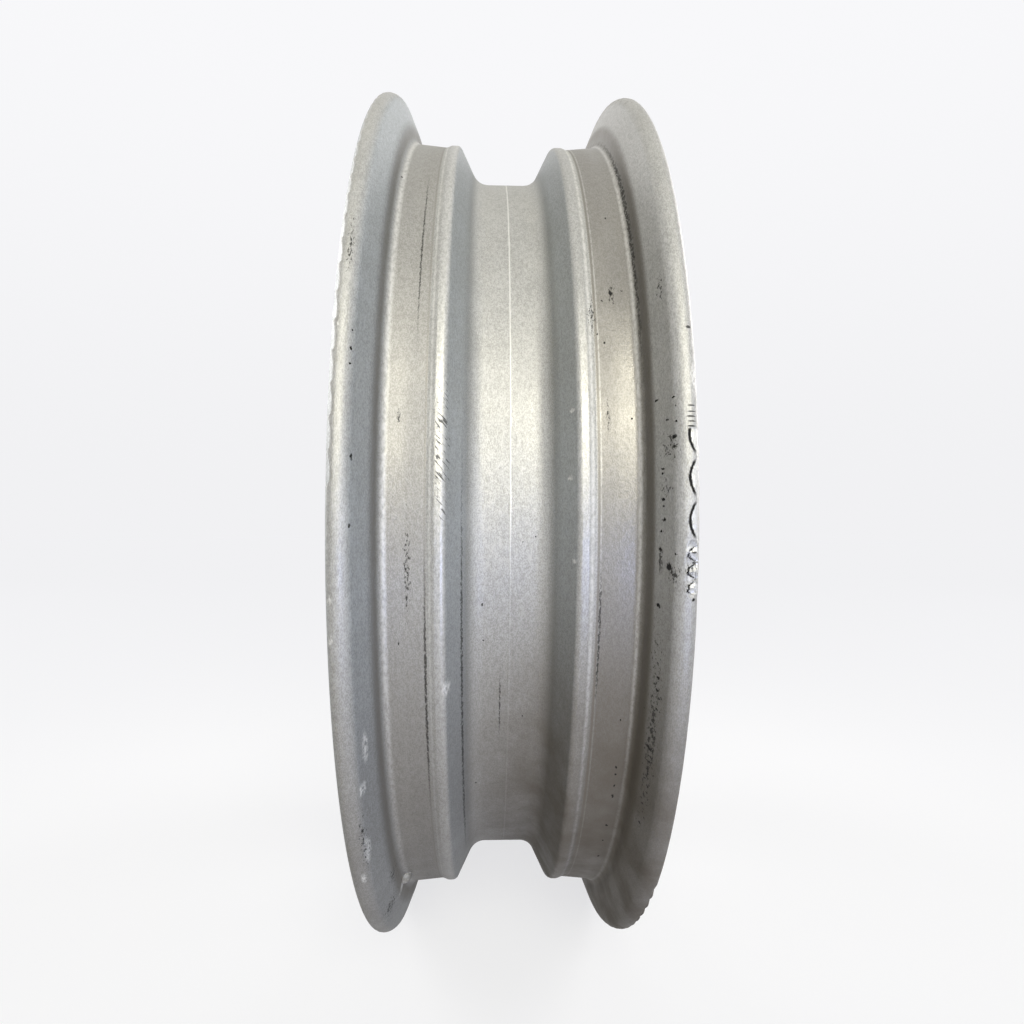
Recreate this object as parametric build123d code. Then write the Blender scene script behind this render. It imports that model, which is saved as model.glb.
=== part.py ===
from build123d import *
import math
import os

# Rear wheel of a motor scooter, rim size 2.15 x 10, in millimetres.
# The wheel turns about Y. The origin is its centre, halfway between the two tyre flanges.
# The brake drum opens towards -Y and the axle nut sits on the +Y side.
# A section is drawn as pairs of a distance along Y and a radius, and is turned about Y.

# Tyre side of the rim
bead_seat_d = 253.2  # diameter where the seat line meets the flange
flange_gap = 56.0  # between the flanges, at the bead seats
flange_height = 13.2  # crown of the flange above the bead seat
flange_width = 8.2  # each flange, from the bead seat to its outer face
seat_slope = 5.0  # degrees, the seat rises towards the flange
seat_run = 9.9  # from the flange to the foot of the safety hump
hump_height = 0.6  # crown of the hump above the foot beside it
hump_foot = 1.7  # width of the slope from the seat up to the hump
hump_crown = 2.2  # width across the top of the hump
well_depth = 11.2  # well floor below the bead seat
well_lean = 26.5  # degrees, the well's side walls off the radial direction
flange_lean = 8.0  # degrees, lower part of the flange face
lip_lean = 22.0  # degrees, upper part of the flange face
lip_start = 4.9  # height on the flange where the face leans out further

# Walls and rounded corners of the rim
rim_wall = 4.8
flange_wall = 5.0
lip_edge = 3.8  # height of the lip's plain outer edge
under_draft = 3.0  # degrees, underside of the bead seats
heel_round = 2.5
well_round = 5.0
hump_round = 1.6
foot_round = 0.9
face_blend = 10.0
crown_round = 3.2
lip_round = 1.9
back_round = 2.4
under_round = 6.0

# Hub and brake drum
drum_d = 110.0
liner_wall = 4.0
liner_length = 26.0
liner_back = 3.0  # Y of the liner's inner end
liner_rib_height = 1.2
liner_rib_width = 3.0
liner_rib_count = 3
liner_chamfer = 0.8
shell_wall = 6.0
shell_draft = 1.5  # degrees
shell_root_round = 2.5
shell_overhang = 2.0  # the shell runs past the liner at the open end
liner_rib_flank = 0.6
drum_relief = 5.0  # gap between the liner's inner end and the web
relief_depth = 2.0  # that gap is cut this much deeper than the drum
web_wall = 7.0
seal_lip_height = 5.0
seal_lip_width = 4.5
seal_groove_width = 2.6
seal_groove_depth = 3.0
seal_edge_bevel = 0.8

# Axle bush, cast into the hub, with a splined bore
bush_d = 24.0
bush_proud = 1.0  # each end of the bush stands out of the hub
bush_groove_depth = 0.8
bush_groove_width = 3.0
bush_groove_count = 3
spline_teeth = 19
spline_major_d = 16.8
spline_minor_d = 15.1
spline_space = 1.8  # width of a space between two teeth, at the teeth's tips
spline_flank = 37.5  # degrees, each flank off the radial line
pilot_d = 17.4
pilot_length = 4.0
bush_chamfer = 0.6
hub_wall = 8.0
hub_nut_rise = 15.0  # hub boss above the web on the nut side
hub_drum_rise = 4.0  # hub boss above the web inside the drum
hub_draft = 2.0  # degrees
hub_edge_bevel = 1.2
hub_root_round = 2.5

# Spokes
spoke_count = 6
spoke_width_hub = 30.0
spoke_width_rim = 21.0
spoke_front_rim = 8.0  # Y of the spoke's front at the rim
spoke_back = -8.0  # Y of the spoke's back
spoke_draft = 3.0  # degrees, window walls
cut_margin = 1.0  # cutters run this far past what they cut
ring_wall = 2.6  # rib that runs round inside the rim between the spokes
window_round = 9.0
window_inset = 3.2  # rounded root of the drum shell to the window
window_edge_round = 1.8
channel_wall = 5.0
channel_depth = 9.0
channel_round = 3.5
pocket_inset = 4.0  # hub boss to the pockets between the front ribs
pocket_round = 4.0
front_rib_width_hub = 9.0
front_rib_width_drum = 16.0
front_rise = 9.0  # front ribs above the web at the hub
front_rise_shell = 2.0  # front ribs above the web at the drum shell
front_blend = 20.0

# Snap-in tubeless valve, on the radius that points to -X
valve_hole_d = 11.4
valve_land = 3.8  # thickness of the rim where the valve snaps in
valve_seat_cut = 0.4  # depth of the flat round the hole in the well floor
valve_spot_gap = 0.6  # that flat is this much wider than the valve all round
valve_pocket_d = 21.0
valve_flange_lap = 2.0  # the valve's flange is this much wider than the hole all round
valve_flange_wall = 2.4
valve_bulb_lap = 1.6  # and its bulb by this much
valve_bulb_length = 5.5
valve_neck_wall = 1.5  # rubber round the stem
valve_flange_round = 0.9
valve_neck_round = 3.0
valve_clear = 9.3  # the cap's end to the drum side of the window
valve_bare_length = 9.5  # stem between the rubber and the stem's tip
valve_thread_d = 7.7
valve_stem_step = 0.75  # the stem inside the rubber is this much thinner all round than its thread
valve_head_cover = 1.0  # rubber between the stem's head and the side of the hole
valve_head_wall = 1.2
valve_bore_d = 3.4
core_seat_wall = 1.25  # brass round the insert, under the thread
core_seat_length = 12.0
core_gap = 0.6  # the core's pin ends this far inside the stem's tip
core_pin_d = 1.6
core_pin_length = 2.0
core_head_length = 5.0
core_seat_lap = 0.3  # the insert's plug is this much wider than the bore all round
core_round = 0.5
cap_wall = 0.95  # over the thread
cap_length = 10.5
cap_top_wall = 2.0
cap_round = 1.0
cap_flutes = 14
cap_flute_d = 1.0
cap_plain_rim = 1.5

# Kerb damage on the +Y lip: degrees round the wheel from +X towards +Z, size and depth of each scoop
kerb_scoops = [(-2.6, 2.6, 0.55), (-3.9, 4.2, 0.8), (-5.2, 3.4, 0.7), (-6.3, 2.2, 0.45)]
kerb_inset = 1.3  # scoops in from the lip's outer face

# Lump of metal left in the corner of the -Y flange
lump_angle = -53.0  # degrees
lump_r = 2.4

# Worked-out sizes of the rim
seat_r = bead_seat_d / 2
half_gap = flange_gap / 2
half_width = half_gap + flange_width
flange_r = seat_r + flange_height
well_r = seat_r - well_depth
foot_y = half_gap - seat_run
foot_r = seat_r - seat_run * math.tan(math.radians(seat_slope))
hump_r = foot_r + hump_height
hump_outer_y = foot_y - hump_foot
hump_inner_y = hump_outer_y - hump_crown
well_y = hump_inner_y - (hump_r - well_r) * math.tan(math.radians(well_lean))
bend_r = seat_r + lip_start
bend_y = half_gap + lip_start * math.tan(math.radians(flange_lean))
crown_y = bend_y + (flange_r - bend_r) * math.tan(math.radians(lip_lean))
inner_r = well_r - rim_wall
wall_shift = rim_wall / math.cos(math.radians(well_lean))
inner_well_y = well_y + wall_shift - rim_wall * math.tan(math.radians(well_lean))
under_r = foot_r - rim_wall
under_y = inner_well_y + (under_r - inner_r) * math.tan(math.radians(well_lean))
back_y = bend_y + flange_wall
edge_r = flange_r - lip_edge
root_y = half_gap + flange_wall - rim_wall * math.tan(math.radians(flange_lean))
root_r = under_r + (root_y - under_y) * math.tan(math.radians(under_draft))

# Worked-out sizes of the hub, drum and spokes
drum_r = drum_d / 2
liner_r = drum_r + liner_wall
relief_r = drum_r + relief_depth
shell_r = liner_r + shell_wall
liner_front = liner_back - liner_length
shell_front = liner_front - shell_overhang
web_back = liner_back + drum_relief
web_front = web_back + web_wall
bush_r = bush_d / 2
hub_r = bush_r + hub_wall
hub_nut_y = web_front + hub_nut_rise
hub_drum_y = web_back - hub_drum_rise
bush_nut_face = hub_nut_y + bush_proud
bush_front = hub_drum_y - bush_proud
bush_length = bush_nut_face - bush_front
window_inner_r = shell_r + shell_root_round + window_inset
ring_r = inner_r - ring_wall
spoke_front_hub = web_front + front_rise_shell
spoke_angle = 360 / spoke_count

# Worked-out sizes of the valve, and its places as distances from the wheel's axis
valve_flange_d = valve_hole_d + 2 * valve_flange_lap
valve_bulb_d = valve_hole_d + 2 * valve_bulb_lap
valve_head_d = valve_hole_d - 2 * valve_head_cover
valve_stem_d = valve_thread_d - 2 * valve_stem_step
valve_neck_d = valve_stem_d + 2 * valve_neck_wall
core_seat_d = valve_thread_d - 2 * core_seat_wall
core_body_d = valve_bore_d + 2 * core_seat_lap
cap_d = valve_thread_d + 2 * cap_wall
valve_seat = well_r - valve_seat_cut
valve_land_inner = valve_seat - valve_land
valve_tip = window_inner_r + valve_clear + cap_top_wall
valve_rubber_end = valve_tip + valve_bare_length
core_seat = valve_tip + core_seat_length


def cut_off(corners):
    """The same corners, with each one whose rounding is below zero replaced by a bevel of that width."""
    rows = []
    for index, (y, r, rounding) in enumerate(corners):
        if rounding >= 0:
            rows.append((y, r, rounding))
            continue
        for next_y, next_r, _ in (corners[index - 1], corners[(index + 1) % len(corners)]):
            share = -rounding / math.hypot(next_y - y, next_r - r)
            rows.append((y + (next_y - y) * share, r + (next_r - r) * share, 0))
    return rows


def fitted_rounds(corners):
    """The same corners, with roundings cut back where an edge is too short for those at its ends."""
    most = 0.98
    reaches = []
    for index, (y, r, rounding) in enumerate(corners):
        before = corners[index - 1]
        after = corners[(index + 1) % len(corners)]
        turn = math.atan2(before[1] - r, before[0] - y) - math.atan2(after[1] - r, after[0] - y)
        reaches.append(rounding / abs(math.tan(turn / 2)))
    shares = [1.0] * len(corners)
    for index, (y, r, _) in enumerate(corners):
        following = (index + 1) % len(corners)
        next_y, next_r, _ = corners[following]
        needed = reaches[index] + reaches[following]
        room = most * math.hypot(next_y - y, next_r - r)
        if needed > room:
            shares[index] = min(shares[index], room / needed)
            shares[following] = min(shares[following], room / needed)
    return [(y, r, rounding * share) for (y, r, rounding), share in zip(corners, shares)]


def rounded_section(corners):
    """A closed section with rounded corners, from rows of Y, radius and rounding."""
    corners = fitted_rounds(cut_off(corners))
    points = [(y, r) for y, r, rounding in corners]
    radii = [rounding for y, r, rounding in corners]
    with BuildSketch(Plane.XY) as sketch:
        with BuildLine():
            FilletPolyline(*points, radius=radii, close=True)
        make_face()
    return sketch.sketch


def turned(section):
    """Turns a section, drawn as distance along Y and radius, about the wheel's axis."""
    upright = Plane(origin=(0, 0, 0), x_dir=(0, 1, 0), z_dir=(1, 0, 0)) * section
    return revolve(upright, axis=Axis.Y)


def turned_valve(section):
    """Turns a section, drawn as distance from the wheel's axis and radius, about the valve's axis."""
    upright = Plane(origin=(0, 0, 0), x_dir=(-1, 0, 0), z_dir=(0, 1, 0)) * section
    return revolve(upright, axis=Axis.X)


def wheel_plane(y):
    """A plane across the wheel's axis that faces +Y."""
    return Plane(origin=(0, y, 0), x_dir=(1, 0, 0), z_dir=(0, 1, 0))


def edge_with_bands(start, end, radius, count, width, depth, flank):
    """Corners along one turned surface with evenly spaced bands of another radius."""
    pitch = (end - start) / count
    direction = math.copysign(1, pitch)
    corners = []
    for index in range(count):
        middle = start + pitch * (index + 0.5)
        foot = direction * width / 2
        top = foot - direction * flank
        corners.append((middle - foot, radius, 0))
        corners.append((middle - top, radius + depth, 0))
        corners.append((middle + top, radius + depth, 0))
        corners.append((middle + foot, radius, 0))
    return corners


def rim_barrel():
    """The drop-centre rim: well, safety humps, bead seats and flanges, hollow below."""
    half = [
        (well_y, well_r, well_round),
        (hump_inner_y, hump_r, hump_round),
        (hump_outer_y, hump_r, hump_round),
        (foot_y, foot_r, foot_round),
        (half_gap, seat_r, heel_round),
        (bend_y, bend_r, face_blend),
        (crown_y, flange_r, crown_round),
        (half_width, flange_r, lip_round),
        (half_width, edge_r, lip_round),
        (back_y, bend_r, back_round),
        (root_y, root_r, back_round),
        (under_y, under_r, under_round),
        (inner_well_y, inner_r, well_round),
    ]
    other_half = [(-y, r, rounding) for y, r, rounding in reversed(half)]
    return turned(rounded_section(half + other_half))


def hub_and_disc():
    """Hub boss, web, drum shell with its seal lip, and the disc that becomes the spokes."""
    rib_top_y = web_front + front_rise
    hub_front_r = hub_r + (hub_nut_y - rib_top_y) * math.tan(math.radians(hub_draft))
    hub_back_r = hub_r + (web_back - hub_drum_y) * math.tan(math.radians(hub_draft))
    shell_back_r = shell_r + (spoke_back - shell_front) * math.tan(math.radians(shell_draft))
    lip_r = shell_r + seal_lip_height
    lip_back = shell_front + seal_lip_width
    groove_middle = (liner_r + lip_r) / 2
    groove_outer = groove_middle + seal_groove_width / 2
    groove_inner = groove_middle - seal_groove_width / 2
    groove_floor = shell_front + seal_groove_depth
    joint_r = inner_r + rim_wall / 2
    return turned(rounded_section([
        (hub_drum_y, bush_r / 2, 0),
        (hub_nut_y, bush_r / 2, 0),
        (hub_nut_y, hub_r, -hub_edge_bevel),
        (rib_top_y, hub_front_r, hub_root_round),
        (spoke_front_hub, shell_r, front_blend),
        (spoke_front_rim, inner_r, 0),
        (spoke_front_rim, joint_r, 0),
        (spoke_back, joint_r, 0),
        (spoke_back, shell_back_r, shell_root_round),
        (lip_back, shell_r, 0),
        (lip_back, lip_r, -seal_edge_bevel),
        (shell_front, lip_r, -seal_edge_bevel),
        (shell_front, groove_outer, 0),
        (groove_floor, groove_outer, 0),
        (groove_floor, groove_inner, 0),
        (shell_front, groove_inner, 0),
        (shell_front, liner_r, 0),
        (liner_back, liner_r, 0),
        (liner_back, relief_r, 0),
        (web_back, relief_r, 0),
        (web_back, hub_back_r, hub_root_round),
        (hub_drum_y, hub_r, -hub_edge_bevel),
    ]))


def tapered_bar(inner, outer, inner_width, outer_width, mode=Mode.ADD):
    """Draws a flat bar along +X from one radius to another, at each place in use."""
    Polygon(
        (inner, -inner_width / 2),
        (outer, -outer_width / 2),
        (outer, outer_width / 2),
        (inner, inner_width / 2),
        align=None,
        mode=mode,
    )


def spoke_width(radius):
    """Width of a spoke at a radius."""
    share = (radius - window_inner_r) / (ring_r - window_inner_r)
    return spoke_width_hub + (spoke_width_rim - spoke_width_hub) * share


def spoke_places():
    """The angles of the spokes, with a window midway between two of them on +X and -X."""
    return PolarLocations(0, spoke_count, start_angle=spoke_angle / 2)


def gaps_between_bars(inner, outer, inner_width, outer_width, rounding):
    """Rounded gaps between radial bars, inside a ring."""
    widening = (outer_width - inner_width) / (outer - inner)
    reach = outer + inner
    reach_width = inner_width + widening * outer
    core_width = inner_width - widening * inner
    with BuildSketch(Plane.XY) as sketch:
        with PolarLocations(0, 1, start_angle=spoke_angle / 2):
            Circle(outer)
            Circle(inner, mode=Mode.SUBTRACT)
        with spoke_places():
            tapered_bar(0, reach, core_width, reach_width, mode=Mode.SUBTRACT)
        fillet(sketch.vertices(), rounding)
    return sketch.sketch


def windows():
    """Cutters for the windows between the spokes, drafted from the middle to both sides."""
    outline = gaps_between_bars(window_inner_r, ring_r, spoke_width_hub, spoke_width_rim, window_round)
    front = extrude(wheel_plane(0) * outline, amount=spoke_front_hub + cut_margin, taper=-spoke_draft)
    back = extrude(wheel_plane(0) * outline, amount=spoke_back - cut_margin, taper=-spoke_draft)
    return front.solids() + back.solids()


def front_pockets():
    """Cutters for the pockets between the front ribs, which leave the web behind them."""
    outline = gaps_between_bars(
        hub_r + pocket_inset, liner_r, front_rib_width_hub, front_rib_width_drum, pocket_round)
    depth = front_rise + cut_margin
    return extrude(wheel_plane(web_front) * outline, amount=depth, taper=-spoke_draft).solids()


def back_channels():
    """Cutters for the hollow back of each spoke."""
    inner = window_inner_r + channel_wall
    outer = ring_r - channel_wall
    with BuildSketch(Plane.XY) as sketch:
        with spoke_places():
            tapered_bar(inner, outer, spoke_width(inner) - 2 * channel_wall,
                        spoke_width(outer) - 2 * channel_wall)
        fillet(sketch.vertices(), channel_round)
    return extrude(wheel_plane(spoke_back) * sketch.sketch, amount=channel_depth, taper=spoke_draft).solids()


def valve_cylinder(start, end, diameter):
    """A cylinder on the valve's axis between two distances from the wheel's axis."""
    return turned_valve(rounded_section([(start, 0, 0), (end, 0, 0), (end, diameter / 2, 0),
                                         (start, diameter / 2, 0)]))


def bush_blank():
    """The axle bush as the hub is cast round it, with locking grooves and no bore."""
    grooves = edge_with_bands(hub_nut_y, hub_drum_y, bush_r, bush_groove_count, bush_groove_width,
                              -bush_groove_depth, 0)
    return turned(rounded_section([
        (bush_front, 0, 0),
        (bush_nut_face, 0, 0),
        (bush_nut_face, bush_r, bush_chamfer),
        *grooves,
        (bush_front, bush_r, bush_chamfer),
    ]))


def liner_blank():
    """The iron drum liner as the shell is cast round it, with locking ribs and no bore."""
    ribs = edge_with_bands(liner_back, liner_front, liner_r, liner_rib_count, liner_rib_width,
                           liner_rib_height, liner_rib_flank)
    return turned(rounded_section([
        (liner_front, 0, 0),
        (liner_back, 0, 0),
        (liner_back, liner_r, 0),
        *ribs,
        (liner_front, liner_r, 0),
    ]))


def window_edges(disc):
    """The edges where the window walls meet the front and the back of the disc."""
    margin = window_edge_round
    half_way = 0.5

    def on_window(edge):
        middle = edge @ half_way
        direction = edge % half_way
        radius = math.hypot(middle.X, middle.Z)
        across = abs(direction.Y) < math.hypot(direction.X, direction.Z)
        at_face = middle.Y > spoke_front_rim - margin or abs(middle.Y - spoke_back) < margin
        return window_inner_r - margin < radius < ring_r + margin and across and at_face

    return ShapeList(edge for edge in disc.edges() if on_window(edge))


def ball_on_rim(y, radius, angle, size):
    """A ball at a distance along Y, a radius, and an angle from +X towards +Z."""
    turn = math.radians(angle)
    return Pos(radius * math.cos(turn), y, radius * math.sin(turn)) * Sphere(size)


def kerb_damage():
    """Cutters for the chips that kerbs have knocked out of the lip."""
    middle_y = half_width - kerb_inset
    return [ball_on_rim(middle_y, flange_r - depth + size, angle, size) for angle, size, depth in kerb_scoops]


def wheel_casting():
    """The wheel itself, one aluminium casting."""
    disc = hub_and_disc() - windows()
    disc = fillet(window_edges(disc), window_edge_round)
    disc = disc - front_pockets() - back_channels()
    casting = rim_barrel() - kerb_damage() + ball_on_rim(-half_gap, seat_r, lump_angle, lump_r) + disc
    casting -= bush_blank()
    casting -= liner_blank()
    casting -= valve_cylinder(ring_r - cut_margin, valve_land_inner, valve_pocket_d)
    casting -= valve_cylinder(valve_land_inner - cut_margin, valve_seat + cut_margin, valve_hole_d)
    casting -= valve_cylinder(valve_seat, flange_r, valve_flange_d + 2 * valve_spot_gap)
    return casting


def splined_bush():
    """The steel bush in the hub: a bore with spline teeth and a plain pilot at each end."""
    minor_r = spline_minor_d / 2
    major_r = spline_major_d / 2
    pilot_r = pilot_d / 2
    bore = turned(rounded_section([
        (bush_front, 0, 0),
        (bush_nut_face, 0, 0),
        (bush_nut_face, pilot_r, 0),
        (bush_nut_face - pilot_length, pilot_r, 0),
        (bush_nut_face - pilot_length, minor_r, 0),
        (bush_front + pilot_length, minor_r, 0),
        (bush_front + pilot_length, pilot_r, 0),
        (bush_front, pilot_r, 0),
    ]))
    floor_width = spline_space - 2 * (major_r - minor_r) * math.tan(math.radians(spline_flank))
    with BuildSketch(Plane.XY) as spaces:
        with PolarLocations(0, spline_teeth):
            tapered_bar(minor_r - spline_space / 2, major_r, spline_space, floor_width)
    teeth = extrude(wheel_plane(bush_front) * spaces.sketch, amount=bush_length)
    return bush_blank() - bore - teeth


def brake_liner():
    """The cast iron ring that the brake shoes rub on."""
    bore = turned(rounded_section([
        (liner_front, 0, 0),
        (liner_back, 0, 0),
        (liner_back, drum_r, 0),
        (liner_front + liner_chamfer, drum_r, 0),
        (liner_front, drum_r + liner_chamfer, 0),
    ]))
    return liner_blank() - bore


def valve_body():
    """The rubber of the valve, moulded on its stem: flange, groove for the rim, bulb and neck."""
    flange_top = valve_seat + valve_flange_wall
    head_top = valve_seat + valve_flange_wall / 2
    hole_r = valve_hole_d / 2
    return turned_valve(rounded_section([
        (flange_top, valve_bore_d / 2, 0),
        (flange_top, valve_flange_d / 2, valve_flange_round),
        (valve_seat, valve_flange_d / 2, 0),
        (valve_seat, hole_r, 0),
        (valve_land_inner, hole_r, 0),
        (valve_land_inner, valve_bulb_d / 2, valve_flange_round),
        (valve_land_inner - valve_bulb_length, valve_neck_d / 2, valve_neck_round),
        (valve_rubber_end, valve_neck_d / 2, valve_flange_round),
        (valve_rubber_end, valve_stem_d / 2, 0),
        (head_top - valve_head_wall, valve_stem_d / 2, 0),
        (head_top - valve_head_wall, valve_head_d / 2, 0),
        (head_top, valve_head_d / 2, 0),
        (head_top, valve_bore_d / 2, 0),
    ]))


def valve_stem():
    """The brass tube of the valve, with its head in the rubber and its end bare for the cap."""
    head_top = valve_seat + valve_flange_wall / 2
    core_r = core_seat_d / 2
    return turned_valve(rounded_section([
        (head_top, valve_bore_d / 2, 0),
        (head_top, valve_head_d / 2, 0),
        (head_top - valve_head_wall, valve_head_d / 2, 0),
        (head_top - valve_head_wall, valve_stem_d / 2, 0),
        (valve_rubber_end, valve_stem_d / 2, 0),
        (valve_rubber_end, valve_thread_d / 2, 0),
        (valve_tip, valve_thread_d / 2, 0),
        (valve_tip, core_r, 0),
        (core_seat, core_r, 0),
        (core_seat, valve_bore_d / 2, 0),
    ]))


def valve_core():
    """The valve's insert: pin, threaded head and the plug that seals in the stem."""
    pin_end = valve_tip + core_gap
    head_front = pin_end + core_pin_length
    head_back = head_front + core_head_length
    return turned_valve(rounded_section([
        (core_seat, 0, 0),
        (core_seat, core_body_d / 2, core_round),
        (head_back, core_body_d / 2, 0),
        (head_back, core_seat_d / 2, 0),
        (head_front, core_seat_d / 2, 0),
        (head_front, core_pin_d / 2, 0),
        (pin_end, core_pin_d / 2, 0),
        (pin_end, 0, 0),
    ]))


def valve_cap():
    """The dust cap, fluted for the fingers, seated on the stem's tip."""
    top = valve_tip - cap_top_wall
    rim = top + cap_length
    shell = turned_valve(rounded_section([
        (top, 0, 0),
        (top, cap_d / 2, cap_round),
        (rim, cap_d / 2, 0),
        (rim, valve_thread_d / 2, 0),
        (valve_tip, valve_thread_d / 2, 0),
        (valve_tip, 0, 0),
    ]))
    across = Plane(origin=(-top, 0, 0), x_dir=(0, 1, 0), z_dir=(-1, 0, 0))
    with BuildSketch(Plane.XY) as flutes:
        with PolarLocations(cap_d / 2, cap_flutes):
            Circle(cap_flute_d / 2)
    return shell - extrude(across * flutes.sketch, amount=cap_length - cap_plain_rim)


nodes = {
    "wheel_casting": wheel_casting,
    "brake_liner": brake_liner,
    "splined_bush": splined_bush,
    "valve_body": valve_body,
    "valve_stem": valve_stem,
    "valve_core": valve_core,
    "valve_cap": valve_cap,
}

os.makedirs("parts", exist_ok=True)
for name, build in nodes.items():
    export_step(build(), f"parts/{name}.step")
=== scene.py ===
"""Looks of a cast motor scooter wheel, seen from the tread side. Lengths are in metres."""

import math
from types import SimpleNamespace

import bpy
import numpy as np
from mathutils import Matrix, Vector


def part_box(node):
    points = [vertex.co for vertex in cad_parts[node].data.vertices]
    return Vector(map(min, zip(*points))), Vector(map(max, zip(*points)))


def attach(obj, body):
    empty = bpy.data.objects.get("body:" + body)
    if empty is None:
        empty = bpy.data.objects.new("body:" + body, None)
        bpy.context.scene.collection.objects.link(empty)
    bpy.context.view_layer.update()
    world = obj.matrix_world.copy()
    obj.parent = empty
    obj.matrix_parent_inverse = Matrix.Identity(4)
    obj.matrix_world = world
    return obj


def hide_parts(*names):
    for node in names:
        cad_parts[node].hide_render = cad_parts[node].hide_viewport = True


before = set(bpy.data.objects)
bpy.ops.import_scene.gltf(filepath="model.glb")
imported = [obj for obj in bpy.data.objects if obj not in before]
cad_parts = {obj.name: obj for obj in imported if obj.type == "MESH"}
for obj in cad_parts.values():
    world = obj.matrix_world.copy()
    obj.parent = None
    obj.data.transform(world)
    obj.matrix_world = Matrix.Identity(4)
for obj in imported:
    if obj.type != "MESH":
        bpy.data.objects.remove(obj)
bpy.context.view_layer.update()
MM = 0.001


def rgb(red, green, blue):
    """A linear colour from the usual screen values."""
    def linear(level):
        level /= 255
        return level / 12.92 if level <= 0.04045 else ((level + 0.055) / 1.055) ** 2.4
    return (linear(red), linear(green), linear(blue), 1.0)


# The wheel turns about Y. An angle goes round it from +X, where the camera stands, towards +Z.
# Left and right are as the camera sees them: left is -Y.

# Sizes read from the frame, and the one that gives the bead seats
WHEEL_LOW, WHEEL_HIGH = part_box("wheel_casting")
FLANGE_R = WHEEL_HIGH.x
FLOOR_Z = WHEEL_LOW.z
FLANGE_HEIGHT = 13.2 * MM
SEAT_R = FLANGE_R - FLANGE_HEIGHT

# Camera, at the photograph's viewing angle
CAMERA_PLACE = Vector((0.27456, -0.0049, 0.0))
CAMERA_PAN = math.radians(1.910)
CAMERA_TILT = math.radians(0.053)
CAMERA_ROLL = math.radians(0.3127)
FOCAL_PX = 706.6
FRAME_PX = 1024
SENSOR_WIDTH_MM = 36.0
CLIP_NEAR = 0.01
CLIP_FAR = 50

# Tyre side of the casting from the middle outwards, in millimetres: Y, radius, rounding.
# The shading of that side follows these lines and arcs instead of the mesh's facets.
TREAD_HALF = [
    (8.749, 115.4, 5.0),
    (14.2, 126.334, 1.6),
    (16.4, 126.334, 1.6),
    (18.1, 125.734, 0.9),
    (28.0, 126.6, 2.5),
    (28.689, 131.5, 10.0),
    (32.042, 139.8, 3.2),
    (36.2, 139.8, 1.9),
    (36.2, 136.0, 1.9),
    (33.689, 131.5, 2.4),
]
ARC_STEPS = 16

# A corner of the mesh follows the drawn section where it lies this near to it and faces nearly the same way.
# The last value keeps a stretch of no length from dividing by zero.
TREAD_NEAR = 0.03 * MM
SAME_SIDE = 0.6
SHORTEST_SQUARED = 1e-18

# Marks on the tyre side, in millimetres and degrees: Y, angle, half length round the wheel, half width
PITS = [
    (29.3, 10.0, 0.3, 0.22), (31.4, 9.6, 0.25, 0.2), (31.6, 8.8, 0.25, 0.18), (30.6, 7.9, 0.22, 0.2),
    (31.7, 7.5, 0.25, 0.2), (31.4, 6.3, 0.45, 0.35), (31.5, 5.5, 0.35, 0.3), (29.9, 3.8, 0.3, 0.22),
    (30.0, 3.4, 0.25, 0.2), (30.0, 1.2, 0.35, 0.25), (30.0, 0.6, 0.22, 0.18), (30.1, -0.5, 0.35, 0.25),
    (29.8, -1.5, 0.3, 0.22), (29.7, -3.1, 0.5, 0.3), (29.7, -8.0, 0.55, 0.3), (31.6, -3.3, 0.3, 0.2),
    (29.9, -31.6, 0.4, 0.3), (23.1, 34.6, 0.4, 0.3), (24.8, 23.4, 0.3, 0.25), (25.6, 9.2, 0.35, 0.3),
    (24.9, -21.5, 0.3, 0.25), (25.0, -27.8, 0.5, 0.33), (25.0, -28.8, 0.45, 0.33), (25.1, -30.6, 0.5, 0.3),
    (25.1, -32.3, 0.8, 0.35), (24.9, -37.9, 0.6, 0.35), (24.8, -41.5, 0.4, 0.25), (24.8, -46.2, 0.6, 0.35),
    (30.1, -14.5, 0.4, 0.3), (30.0, -15.7, 0.4, 0.3), (30.2, -17.5, 0.3, 0.22), (29.7, -22.0, 0.5, 0.3),
    (20.3, 22.3, 0.3, 0.25), (18.8, 18.3, 0.4, 0.25), (20.3, 17.3, 0.35, 0.25),
    (5.8, -2.7, 0.22, 0.2), (2.9, -3.3, 0.2, 0.18), (3.6, -25.1, 0.3, 0.2), (-6.2, -10.5, 0.6, 0.18),
    (-5.9, -14.8, 0.3, 0.2), (-7.7, -36.8, 0.4, 0.25), (-23.8, -12.8, 0.5, 0.2), (-27.3, 42.2, 0.5, 0.3),
    (-32.0, 15.1, 0.3, 0.22), (-32.0, 13.4, 0.4, 0.2), (-32.1, 12.1, 0.25, 0.18), (-31.4, 4.4, 0.9, 0.22),
    (-31.5, -1.1, 0.5, 0.2), (30.8, -4.4, 0.9, 0.25), (34.9, -6.9, 0.4, 0.3), (22.3, 23.2, 1.0, 0.5),
]
STREAKS = [
    (-22.0, -6.0, 13.0, 0.9), (29.9, -20.5, 27.0, 0.85), (17.8, 20.5, 6.0, 1.1), (30.7, 20.3, 3.5, 0.6),
    (-28.9, -45.0, 6.0, 0.6), (-30.3, -50.5, 5.0, 1.7), (-31.9, -31.7, 10.0, 0.9), (30.9, 5.6, 2.6, 1.3),
    (30.4, 2.2, 1.8, 0.8), (34.8, -4.3, 4.2, 1.2), (-24.0, 9.0, 3.0, 0.5), (20.6, 9.5, 3.5, 0.6),
    (-33.4, 23.2, 8.0, 0.7), (22.5, 23.0, 5.0, 0.8), (31.5, -4.9, 2.4, 1.2),
]
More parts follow.
